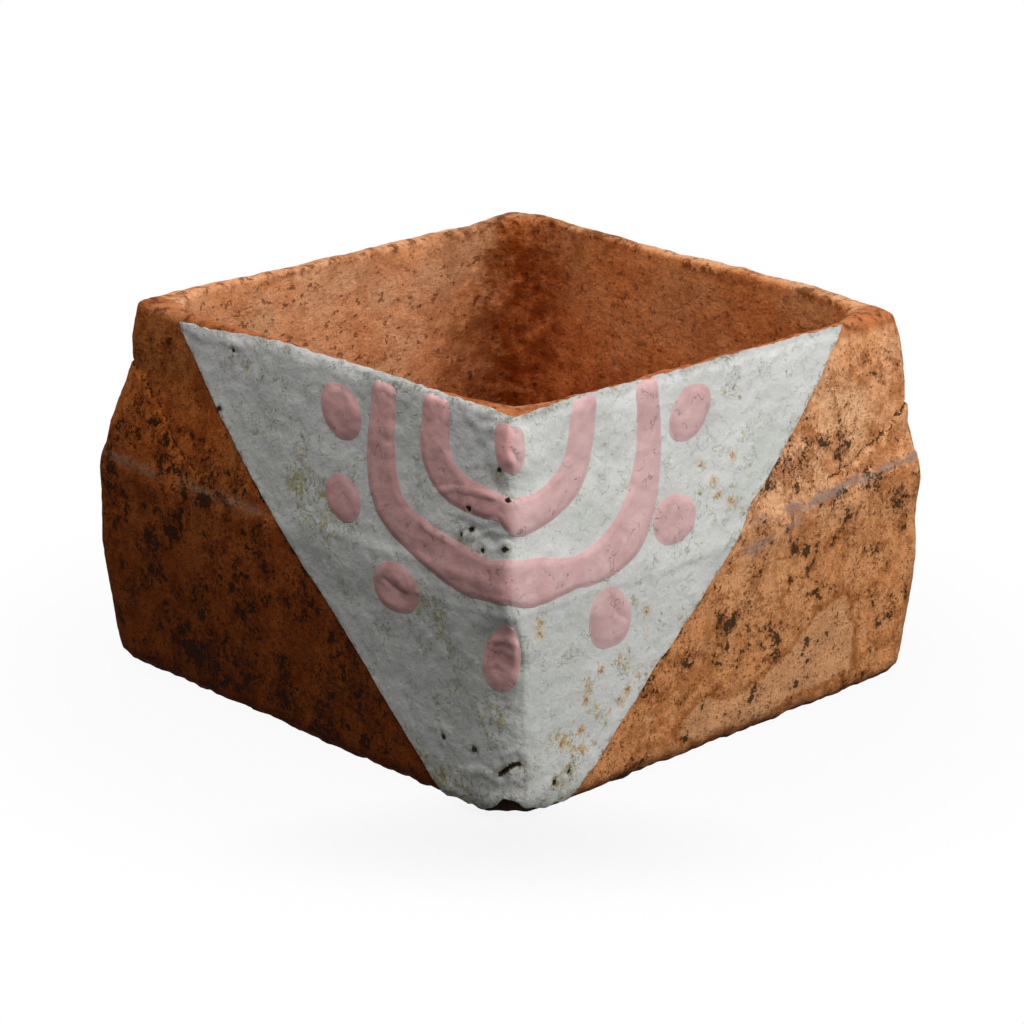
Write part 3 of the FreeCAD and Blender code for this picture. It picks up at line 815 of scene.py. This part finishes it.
whiteCoat = dict(
    kinkLevel=54.5, footLevel=1.6, topLevel=90,
    topLine=((-77, 88.5), (-66, 89.6), (-60, 90.6), (-52, 92.0), (-40, 92.7), (-28, 92.6), (-18, 92.0),
             (-9, 91.2), (0, 91.2), (20, 91.5), (40, 91.4), (60, 91.2), (75, 90.8)),    # along the rim
    leftEdge=((1.6, -14.0), (10, -20.3), (20, -28), (30, -35.2), (40, -43.4), (50, -51.6), (60, -59.6),
              (70, -66.4), (80, -72.4), (88, -76.6), (90, -77)),
    rightEdge=((1.6, 13.2), (10, 20), (20, 27.6), (27.5, 32.8), (29.5, 35.2), (40, 43.2), (50, 50.8),
               (54, 52.6), (57, 53.6), (60, 56.6), (70, 63.8), (80, 70), (90, 75.4)),
    bands=(-38, -12, 12, 38), cuts=64, sink=0.30, thickness=0.65, edgeWobble=0.28, edgeRound=0.16,
    lumps=(7.0, 0.45), grit=(2.4, 0.10), holeRing=0.18, holeDepth=0.55,
    notchHalf=4.0, notchHeight=3.6,
    folds=(
        (0.28, 0.45, ((-15.5, 70.0), (-12, 71.7), (-8, 72.4), (-3, 72.7))),
        (0.32, 0.45, ((-10, 62.6), (-7.5, 63.3), (-4.5, 65.4), (0, 65.8))),
        (0.26, 0.45, ((-13, 66.4), (-10, 66.9), (-6, 66.2), (-3, 68.0))),
        (0.30, 0.45, ((-4.2, 61.4), (-2.2, 62.4), (-1, 64.0))),
        (0.24, 0.45, ((-19.5, 62.6), (-16, 60.8), (-12, 60.4))),
        (-0.30, 0.9, ((-8, 64.8), (-4, 63.2))),
        (0.32, 1.2, ((-46, 53.4), (-38, 53.8), (-30, 53.2), (-21, 54.4), (-8, 54.7), (-2, 54.2))),
        (0.20, 0.5, ((-20, 47.3), (-8, 47.8), (2, 48.6), (14, 48.9), (30, 48.2), (48, 49.4))),
        (0.30, 0.8, ((-16.5, 17.6), (-14.5, 18.3), (-12.6, 17.2))),
        (0.35, 0.8, ((-10, 9.5), (-6, 11.0), (-2.5, 9.8))),
        (0.30, 0.7, ((3.5, 10.5), (4.4, 13), (3.6, 16), (1.5, 17.4), (-1.2, 16.2))),
        (-0.50, 0.6, ((-1.6, 11.6), (-0.4, 12.8), (0.4, 13.5), (1.8, 13.9))),
        (0.40, 1.0, ((-34, 90.6), (-27, 90.2), (-20, 90.8))),
        (0.45, 1.0, ((-12, 90.4), (-8, 89.2), (-4.5, 89.8))),
        (0.35, 0.9, ((-9, 87.4), (-6.5, 86.0), (-4.5, 87.0))),
        (0.30, 1.0, ((5, 90.4), (14, 90.8), (24, 90.6))),
        (0.30, 0.9, ((-74, 87), (-70, 86), (-62, 87.4))),
        (-0.25, 1.4, ((-7, 81.5), (-4.6, 77), (-3.5, 74.6))),
    ),
)


def makeWhiteCoat(pot):
    coat = whiteCoat
    panel = makeWith(bpy.ops.mesh.primitive_plane_add, "whiteCoat", size=1)
    left, right = coat['leftEdge'][-1][1], coat['rightEdge'][-1][1]
    height = (coat['topLevel'] - coat['footLevel']) * mm
    bpy.ops.transform.resize(value=((right - left) * mm, height, 1))
    bpy.ops.transform.translate(value=((left + right) / 2 * mm,
                                       (coat['topLevel'] + coat['footLevel']) / 2 * mm, 0))
    bpy.ops.object.transform_apply()
    cutAcross(panel, (0, coat['kinkLevel'] * mm, 0), (0, 1, 0))
    for band in coat['bands']:
        cutAcross(panel, (band * mm, 0, 0), (1, 0, 0))
    pickAll(panel)
    bpy.ops.mesh.subdivide(number_cuts=coat['cuts'])
    editMode(False)
    points = readPoints(panel)
    side, level = points[:, 0] < 0, points[:, 1]
    share = np.where(side, points[:, 0] / left, points[:, 0] / right)
    edge = np.where(side, follow(coat['leftEdge'], level), follow(coat['rightEdge'], level))
    upDown = columns(np.where(side, 0.0, 50.0), level, 0)
    wobble = waves(upDown, 6.5) + 0.6 * waves(upDown, 2.2, 4.0) + 0.3 * waves(upDown, 1.1)
    q = share * (edge + coat['edgeWobble'] * wobble * share ** 8)
    across = columns(q, 0, 0)
    topLine = follow(coat['topLine'], q) - coat['topLevel']
    topLine += 0.4 * waves(across, 9.0, 1.5) + 0.40 * waves(across, 2.5, 6.0) + 0.45 * waves(across, 1.3, 2.0)
    lowLine = coat['notchHeight'] * np.exp(-(q / coat['notchHalf']) ** 2) + 1.1 * waves(across, 2.2, 8.0)
    level = (level + ease(level, 78, coat['topLevel']) * topLine
             + ease(level, 14, coat['footLevel']) * lowLine)
    paintValues(panel, "edgeGap", (1 - np.abs(share)) * np.abs(edge) * math.sqrt(2))
    pushOnto(panel, columns(q, level), pot, coat['sink'])
    # facesUp: where the paint faces up, which the material darkens as painted shade and flecks with dirt
    paintValues(panel, "facesUp", ease(readNormals(panel)[:, 2], 0.25, 0.85))
    for size, height in (coat['lumps'], coat['grit']):
        roughen(panel, size, height, depth=1)
    points, normals = readPoints(panel), readNormals(panel)
    shaky = level + 0.5 * waves(points, 6.0, 3.0)
    ledge = foldsOn(q, shaky, coat['folds'])
    ledge += ease(level, 85, 89) * (0.22 * waves(points, 2.0, 9.0) + 0.16 * waves(points, 1.2, 4.0))
    dips = np.zeros(len(q))
    for wall, holes in (('left', 'pinholesLeft'), ('right', 'pinholesRight')):
        for place in paintMarks[holes]:
            gaps = np.linalg.norm(points - np.array(onWall(wall, *place)), axis=1)
            dips += coat['holeRing'] * ease(gaps, 3.2, 1.0) - coat['holeDepth'] * ease(gaps, 1.1, 0.3)
    writePoints(panel, points + normals * (ledge + dips)[:, None])
    thicken(panel, coat['thickness'], coat['edgeRound'])
    return panel


def thicken(piece, thickness, edgeRound):
    addModifier(piece, 'SOLIDIFY', thickness=thickness * mm, offset=1.0)
    addModifier(piece, 'BEVEL', width=edgeRound * mm, segments=2, limit_method='ANGLE',
                angle_limit=math.radians(50))
    focusOn(piece)
    bpy.ops.object.shade_smooth()


whiteFinish = dict(
    upperHighlight=colour(228, 227, 224), paint=colour(217, 217, 213), dull=colour(204, 206, 200),
    fleck=colour(104, 102, 76), hairline=colour(132, 128, 74), mould=colour(178, 168, 98),
    rust=colour(158, 88, 22), halo=colour(206, 160, 84), pinhole=colour(20, 16, 10),
    ring=colour(120, 116, 72),
)


def onCoat(q, z):    # place on the coat, found from in front
    aside = q / math.sqrt(2)
    start = Vector((aside - 90, -aside - 90, z)) * mm
    return tuple(coatPiece.ray_cast(start, Vector((1, 1, 0)).normalized())[1] / mm)


def makeWhitePaint():
    material, shader, place = startMaterial("chalkyWhite")
    tone = whiteFinish
    wide = noiseAt(place, 20, 4, 0.6)
    patch = noiseAt(place, 8, 4, 0.65)
    middle = noiseAt(place, 3.2, 5, 0.65)
    ragged = noiseAt(shaken(place, 1.0, 0.3), 2.4, 7, 0.80)
    fine = noiseAt(place, 0.9, 4, 0.65)
    x, y, z = addNode('SeparateXYZ', {0: place}).outputs
    leftward = fade(calc('SUBTRACT', y, x), -2 * mm, 2 * mm)
    base = lay(tone['paint'], tone['dull'], fade(wide, 0.40, 0.64))
    # painted highlight: the upper paint is lighter, more so on the left face
    high = fade(z, 64 * mm, 88 * mm)
    base = lay(base, tone['upperHighlight'], high, fade(wide, 0.66, 0.40), scaled(leftward, 0.6, 0.4))
    base = dim(base, times(scaled(fine, 0.12, 0.94), scaled(middle, 0.12, 0.94)))

    leftMould = fade(nearest(shaken(place, 4.0, 3.0), onWalls('left', paintMarks['mouldLeft'])), 8.0, 1.0)
    crowd = piled(patch, (leftward, 0.04), (leftMould, 0.26), (fade(z, 16 * mm, 2 * mm), 0.15))
    base = lay(base, tone['mould'], crowded(ragged, crowd, 0.42, 0.60, 0.68), 0.70)
    flecks = crowded(noiseAt(place, 1.2, 5, 0.75, 0.5), crowd, 0.30, 0.64, 0.70)
    base = lay(base, tone['fleck'], flecks, 0.44)
    webs = threads(shaken(place, 3.0, 1.0), 9.0, 0.008, fade(crowd, 0.44, 0.60), 5.0)
    hairs = larger(threads(shaken(place, 2.5, 1.2), 6.0, 0.012, fade(noiseAt(place, 4.2, 3), 0.44, 0.60)),
                   threads(shaken(place, 1.2, 0.5), 3.2, 0.015, fade(crowd, 0.48, 0.66)))
    hairs = larger(webs, hairs)
    calm = times(turnedOver(leftward), fade(z, 58 * mm, 80 * mm))
    hairShare = scaled(calm, -0.20, scaled(leftward, 0.22, 0.34))
    base = lay(base, tone['hairline'], hairs, hairShare)

    rustGap = nearest(shaken(place, 1.0, 1.0), onWalls('right', paintMarks['rustRight'], 0.4))
    lowRight = fade(nearest(place, onWalls('right', paintMarks['rustCloud'])), 16, 6)
    rays = threads(shaken(place, 1.2, 0.5), 2.6, 0.030,
                   larger(fade(rustGap, 3.8, 0.8), times(lowRight, fade(patch, 0.42, 0.58))))
    base = lay(base, tone['mould'], rays, 0.75)
    base = lay(base, tone['halo'], fade(rustGap, 2.0, 0.5), fade(ragged, 0.40, 0.58), 0.70)
    base = lay(base, tone['rust'], fade(rustGap, 1.1, 0.3), fade(fine, 0.42, 0.54), 0.85)
    cloudTone = lay(tone['halo'], tone['rust'], fade(middle, 0.48, 0.58))
    base = lay(base, cloudTone, lowRight, crowded(ragged, patch, 0.40, 0.56, 0.64), 0.70)
    dirtyEdge = times(fade(attributeAt("edgeGap"), 1.9, 0.3), fade(noiseAt(place, 1.6, 4, 0.7), 0.51, 0.59))
    facesUp = attributeAt("facesUp")
    dirtyTop = times(facesUp, fade(middle, 0.48, 0.60), fade(fine, 0.42, 0.54))
    base = lay(base, tone['fleck'], larger(dirtyEdge, dirtyTop), 0.6)
    base = lay(base, tone['ring'], fade(z, 9 * mm, 2 * mm), fade(ragged, 0.50, 0.60), 0.7)
    holes = onWalls('left', paintMarks['pinholesLeft']) + onWalls('right', paintMarks['pinholesRight'])
    holes += [onCoat(*spot) for spot in paintMarks['chipFront']]
    holeGap = nearest(shaken(place, 1.0, 0.5), holes)
    hole = fade(holeGap, 0.80, 0.46)
    base = lay(base, tone['ring'], fade(holeGap, 2.0, 0.8), fade(ragged, 0.42, 0.56), 0.75)
    base = lay(base, tone['pinhole'], hole)
    # painted shade: paint that faces up is darkened against the light from above
    base = dim(base, scaled(facesUp, -0.32, 1.0))
    height = piled(times(middle, 0.55), (fine, 0.12), (noiseAt(place, 1.7, 4, 0.6), 0.12), (hairs, -0.10),
                   (flecks, -0.10), (hole, -1.0))
    return finishMaterial(material, shader, base, 0.72, 0.22, height, 0.8)


coatPiece = makeWhiteCoat(pot)
coatPiece.data.materials.append(makeWhitePaint())
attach(coatPiece, "root")
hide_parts("white_panel")
print("white coat made,", len(coatPiece.data.polygons), "faces")


# pink brush strokes, each as a path of (q, z, half width) stations

brush = dict(
    sink=0.15, thickness=0.40, edgeRound=0.10, swell=0.44, sunkEdge=0.24, step=0.30, rows=24, spotGrid=30,
    lumps=(3.5, 0.12), wobble=0.16, tipBlunt=3.0, tipCrowd=0.12, relaxAbove=88,
    strokes=dict(
        innerArch=dict(node="inner_arch", stations=(
            (-16.5, 90.0, 2.8), (-16.7, 85, 3.0), (-16.8, 79.5, 3.2), (-15.4, 74.8, 3.6), (-12.2, 71.9, 3.7),
            (-7, 70.8, 3.3), (-2.5, 70.7, 2.8), (0.8, 69.6, 4.1), (3.5, 69.3, 4.0), (7, 70.2, 3.7),
            (11, 72.9, 3.7), (13.5, 77.6, 3.0), (14.4, 83, 2.85), (14.8, 87.5, 2.8), (15.1, 91.0, 2.8))),
        outerArch=dict(node="outer_arch", stations=(
            (-28.3, 89.2, 2.6), (-28.4, 84, 2.75), (-28.8, 77, 3.0), (-28.5, 70, 3.4), (-27, 64.6, 3.8),
            (-23.8, 60.9, 4.1), (-18, 58.1, 4.4), (-11, 55.7, 4.9), (-4.5, 55.2, 4.45), (0, 55.9, 4.6),
            (6, 54.6, 4.9), (13, 54.2, 3.6), (19, 54.9, 4.5), (24.3, 58, 4.8), (27.6, 64.4, 3.9),
            (29, 71, 3.1), (29.5, 78, 2.75), (29.2, 84, 2.5), (28.9, 87.5, 2.5), (28.8, 91.0, 2.5))),
    ),
    spots=dict(    # centre, width and height, lean in degrees, and how much wider the foot is than the top
        spotCentre=dict(node="spot_centre", centre=(-0.8, 83.7), size=(6.3, 10.4), lean=3, egg=0.02,
                        blunt=3.0, folds=((0.22, 0.9, ((-1.2, 87.5), (-1.4, 84), (-0.6, 81.4))),
                                          (-0.24, 0.5, ((-0.2, 83.4), (0.6, 81.4), (1.4, 80.4))))),
        spotUpperLeft=dict(node="spot_upper_left", centre=(-38.0, 80.0), size=(9.2, 11.9), lean=14, egg=-0.02),
        spotMiddleLeft=dict(node="spot_middle_left", centre=(-37.4, 61.7), size=(8.2, 9.8), lean=10,
                            egg=-0.04),
        spotLowerLeft=dict(node="spot_lower_left", centre=(-25.2, 46.4), size=(10.4, 11.2), lean=6, egg=0.02,
                           folds=((-0.30, 0.6, ((-27.5, 47.6), (-25.4, 46.4), (-22.8, 46.0))),
                                  (0.45, 1.2, ((-24.6, 48.6), (-23.2, 47.4))))),
        spotBottom=dict(node="spot_bottom", centre=(-1.7, 38.2), size=(7.8, 16.4), lean=-7, egg=0.22,
                        folds=((0.28, 0.7, ((-3.2, 42.0), (-1, 42.9), (1.2, 42.2))),
                               (0.14, 0.5, ((-3.0, 39.8), (-1.8, 40.4), (0.2, 39.4))),
                               (0.14, 0.5, ((-3.8, 36.0), (-2.4, 36.8), (-1.0, 36.0))))),
        spotLowerRight=dict(node="spot_lower_right", centre=(21.4, 41.7), size=(9.2, 14.6), lean=8, egg=0.16,
                            folds=((-0.25, 0.6, ((21.6, 46), (22.6, 42.2), (25.0, 40.0))),)),
        spotMiddleRight=dict(node="spot_middle_right", centre=(35.6, 58.9), size=(9.8, 11.0), lean=22,
                             egg=0.08),
        spotUpperRight=dict(node="spot_upper_right", centre=(38.8, 80.6), size=(8.8, 12.0), lean=-22,
                            egg=-0.03, blunt=2.3),
    ),
)


def smoothPath(stations, count):    # a soft curve through the stations, evenly spaced
    line = np.array(stations, float)
    padded = np.vstack([2 * line[0] - line[1], line, 2 * line[-1] - line[-2]])
    pieces = []
    for start in range(len(line) - 1):
        a, b, c, d = padded[start:start + 4]
        t = np.linspace(0, 1, 24, endpoint=start == len(line) - 2)[:, None]
        pieces.append(0.5 * (2 * b + (c - a) * t + (2 * a - 5 * b + 4 * c - d) * t ** 2
                             + (3 * b - a - 3 * c + d) * t ** 3))
    dense = np.vstack(pieces)
    along = np.concatenate([[0], np.cumsum(np.hypot(*np.diff(dense[:, :2], axis=0).T))])
    wanted = np.linspace(0, along[-1], count)
    return sampled(wanted, along, dense), wanted


def sampled(places, along, path):    # every column of a path at some distances along it
    return np.stack([np.interp(places, along, column) for column in path.T], 1)


def gridSheet(name, countAlong, countAcross):    # a flat sheet, and its points from -1 to 1 both ways
    sheet = makeWith(bpy.ops.mesh.primitive_grid_add, name, x_subdivisions=countAlong,
                     y_subdivisions=countAcross, size=2)
    return sheet, readRows(sheet.data.vertices, 'co')


def layStroke(name, stroke):
    stations = np.array(stroke['stations'])
    length = float(np.sum(np.hypot(*np.diff(stations[:, :2], axis=0).T)))
    count = int(length / brush['step'])
    sheet, unit = gridSheet(name, count, brush['rows'])
    path, along = smoothPath(stroke['stations'], count * 4)
    spot = (unit[:, 0] + 1) / 2
    tipEase = 0.5 - 0.5 * np.cos(np.pi * spot)
    place = along[-1] * (spot + (tipEase - spot) * brush['tipCrowd'])    # a little closer rows near the tips
    half = np.interp(place, along, path[:, 2])
    direction = sampled(place, along, np.gradient(path[:, :2], along, axis=0))
    direction /= np.linalg.norm(direction, axis=1)[:, None]
    across = columns(-direction[:, 1], direction[:, 0])
    tip = np.minimum(place, along[-1] - place)
    blunt = brush['tipBlunt']
    tipHalf = half * np.clip(1 - (1 - np.clip(tip / half, 0, 1)) ** blunt, 0, 1) ** (1 / blunt)
    flat = sampled(place, along, path[:, :2]) + across * (unit[:, 1] * tipHalf)[:, None]
    edge = unit[:, 1] * np.clip(tip / 2, 0, 1)
    shift = brush['wobble'] * waves(columns(*flat.T, 0), 3.5, len(name))
    flat += across * (shift * edge)[:, None]
    gapToEdge = np.minimum((1 - np.abs(unit[:, 1])) * tipHalf, tip)
    return finishPaint(sheet, flat, gapToEdge, stroke['node'])


def laySpot(name, spot):
    sheet, unit = gridSheet(name, brush['spotGrid'], brush['spotGrid'])
    a = unit[:, 0] * np.sqrt(1 - unit[:, 1] ** 2 / 2)
    b = unit[:, 1] * np.sqrt(1 - unit[:, 0] ** 2 / 2)
    radius = np.hypot(a, b)
    angle = np.arctan2(b, a)
    blunt = spot.get('blunt', 2.0)    # 2 is an ellipse, more is squarer
    squarer = (np.abs(np.cos(angle)) ** blunt + np.abs(np.sin(angle)) ** blunt) ** (-1 / blunt)
    a, b = a * squarer, b * squarer
    ring = columns(np.cos(angle) * 3, np.sin(angle) * 3, 0)
    swell = 1 + 0.05 * waves(ring, 2.2, len(name) * 1.7 + spot['lean']) * radius
    x = spot['size'][0] / 2 * a * (1 - spot['egg'] * b) * swell
    z = spot['size'][1] / 2 * b * swell
    lean = math.radians(spot['lean'])
    flat = columns(spot['centre'][0] + x * math.cos(lean) - z * math.sin(lean),
                   spot['centre'][1] + x * math.sin(lean) + z * math.cos(lean))
    gapToEdge = (1 - radius) * min(spot['size']) / 2
    return finishPaint(sheet, flat, gapToEdge, spot['node'], spot.get('folds', ()))


def finishPaint(sheet, flat, gapToEdge, node, folds=()):
    paintValues(sheet, "edgeGap", gapToEdge)
    pushOnto(sheet, flat, coatPiece, brush['sink'])
    # shadeSide: where the paint faces left, tinted in the material as painted shade
    paintValues(sheet, "shadeSide", ease(-readNormals(sheet)[:, 0], 0.55, 0.9))
    swell = brush['swell'] * ease(gapToEdge, -0.2, 1.5) - brush['sunkEdge']
    swell += foldsOn(*flat.T, folds) * ease(gapToEdge, 0.1, 0.8)
    writePoints(sheet, readPoints(sheet) + readNormals(sheet) * swell[:, None])
    pickParts(sheet, 'VERT', lambda place: place.z > brush['relaxAbove'] * mm)    # no folds over the rim
    bpy.ops.mesh.vertices_smooth(factor=0.5, repeat=4)
    bpy.ops.mesh.select_all(action='SELECT')
    bpy.ops.mesh.remove_doubles(threshold=0.001 * mm)
    editMode(False)
    roughen(sheet, *brush['lumps'], depth=1)
    thicken(sheet, brush['thickness'], brush['edgeRound'])
    sheet.data.materials.append(pinkPaint)
    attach(sheet, "root")
    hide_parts(node)
    return sheet


pinkFinish = dict(paint=colour(216, 179, 177), deep=colour(207, 167, 165), edge=colour(216, 194, 192),
                  fleck=colour(128, 88, 78), pinhole=colour(24, 17, 12), shadeTint=(1.0, 0.86, 0.85, 1))


def makePinkPaint():
    material, shader, place = startMaterial("mattePink")
    tone = pinkFinish
    patch = noiseAt(place, 9, 4, 0.6)
    middle = noiseAt(place, 3.0, 5, 0.65)
    fine = noiseAt(place, 0.7, 4, 0.65)
    base = lay(tone['paint'], tone['deep'], fade(patch, 0.42, 0.62))
    base = dim(base, times(scaled(fine, 0.08, 0.96), scaled(middle, 0.16, 0.92)))
    x, y, z = addNode('SeparateXYZ', {0: place}).outputs
    # painted highlight: the paint is lighter on the upper left face and on the low spot left of the corner
    upper = times(fade(z, 66 * mm, 84 * mm), fade(calc('SUBTRACT', y, x), -2 * mm, 2 * mm))
    lower = times(fade(z, 48 * mm, 42 * mm), fade(calc('SUBTRACT', x, y), 9 * mm, -2 * mm))
    base = dim(base, scaled(lower, 0.30, scaled(upper, 0.30, 1.0)))
    base = lay(base, tone['edge'], fade(attributeAt("edgeGap"), 0.50, 0.05), 0.4)
    flecks = times(fade(noiseAt(place, 1.2, 4, 0.75, 0.5), 0.62, 0.70), fade(patch, 0.44, 0.62))
    hairs = threads(shaken(place, 2.5, 1.2), 6.0, 0.010, fade(noiseAt(place, 4.2, 3), 0.48, 0.60))
    base = lay(base, tone['fleck'], larger(flecks, hairs), 0.38)
    holes = onWalls('left', paintMarks['pinholesLeft'][:4], 0.9) + [onCoat(*paintMarks['pinholeFront'])]
    hole = fade(nearest(shaken(place, 1.0, 0.45), holes), 0.85, 0.52)
    # painted shade: the paint facing left is darker and redder
    base = tint(base, attributeAt("shadeSide"), tone['shadeTint'])
    base = lay(base, tone['pinhole'], hole)
    height = piled(times(middle, 0.45), (fine, 0.06), (hairs, -0.2), (hole, -1.0))
    return finishMaterial(material, shader, base, 0.8, 0.15, height, 0.6)


pinkPaint = makePinkPaint()
for strokeName, stroke in brush['strokes'].items():
    layStroke(strokeName, stroke)
for spotName, spot in brush['spots'].items():
    laySpot(spotName, spot)
print("pink strokes and spots made")
